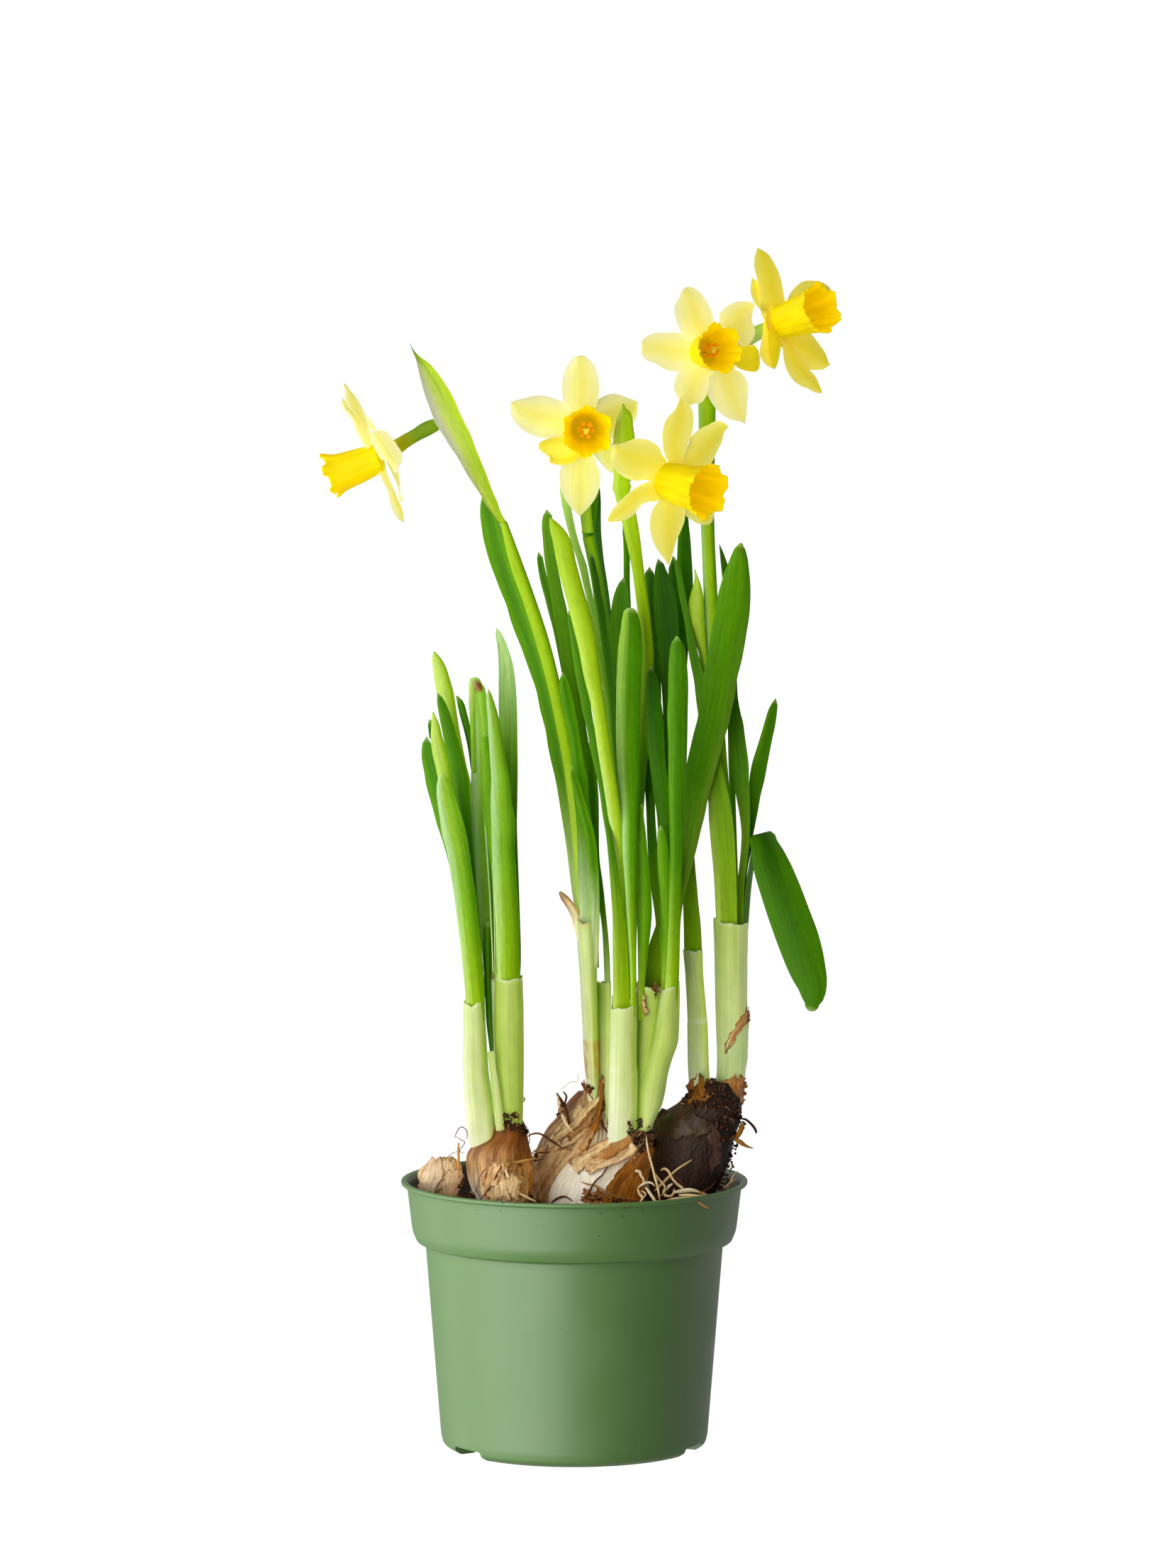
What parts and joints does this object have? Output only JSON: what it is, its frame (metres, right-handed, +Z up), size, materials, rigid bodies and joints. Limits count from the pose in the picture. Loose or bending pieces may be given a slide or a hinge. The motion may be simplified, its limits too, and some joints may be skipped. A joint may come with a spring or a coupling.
{
  "type": "potted tete-a-tete daffodil",
  "caption": "Miniature daffodil in a round plastic grower's pot: strap leaves, open yellow flowers and closed buds rising from sheathed bulbs bedded in soil.",
  "frame": {"origin": "on the pot's axis, at the level of the surface that its foot stands on", "axes": "+Z up along the pot's axis; -Y towards the side the flowers mostly face; +X to the right seen from that side"},
  "size_m": [0.1778, 0.12, 0.4145],
  "materials": {
    "pot_plastic": "satin",
    "potting_soil": "matte",
    "bulb_skin": "satin",
    "leaf": "satin",
    "flower_stem": "satin",
    "bud_sheath": "satin",
    "petal": "matte",
    "corona": "satin"
  },
  "bodies": {
    "root": {"bud_stem_left_1": "bud_sheath", "bud_stem_left_2": "bud_sheath", "bud_stem_middle": "bud_sheath", "bud_stem_right": "bud_sheath", "bulb_front": "bulb_skin", "bulb_left": "bulb_skin", "bulb_middle": "bulb_skin", "bulb_right": "bulb_skin", "bulblet_front": "bulb_skin", "bulblet_left": "bulb_skin", "corona_1": "corona", "corona_2": "corona", "corona_3": "corona", "corona_4": "corona", "corona_5": "corona", "leaf_back_1": "leaf", "leaf_back_2": "leaf", "leaf_back_3": "leaf", "leaf_back_4": "leaf", "leaf_back_5": "leaf", "leaf_centre_1": "leaf", "leaf_centre_2": "leaf", "leaf_centre_3": "leaf", "leaf_centre_4": "leaf", "leaf_centre_5": "leaf", "leaf_centre_6": "leaf", "leaf_centre_7": "leaf", "leaf_front_1": "leaf", "leaf_front_2": "leaf", "leaf_front_3": "leaf", "leaf_left_1": "leaf", "leaf_left_2": "leaf", "leaf_left_3": "leaf", "leaf_left_4": "leaf", "leaf_left_5": "leaf", "leaf_left_6": "leaf", "leaf_left_7": "leaf", "leaf_middle_1": "leaf", "leaf_middle_2": "leaf", "leaf_middle_3": "leaf", "leaf_middle_4": "leaf", "leaf_middle_5": "leaf", "leaf_middle_6": "leaf", "leaf_right_1": "leaf", "leaf_right_2": "leaf", "leaf_right_3": "leaf", "leaf_right_4": "leaf", "leaf_right_5": "leaf", "leaf_right_bent": "leaf", "petals_1": "petal", "petals_2": "petal", "petals_3": "petal", "petals_4": "petal", "petals_5": "petal", "pot": "pot_plastic", "soil": "potting_soil", "stem_1": "flower_stem", "stem_2": "flower_stem", "stem_3": "flower_stem", "stem_4": "flower_stem"}
  },
  "joints": []
}
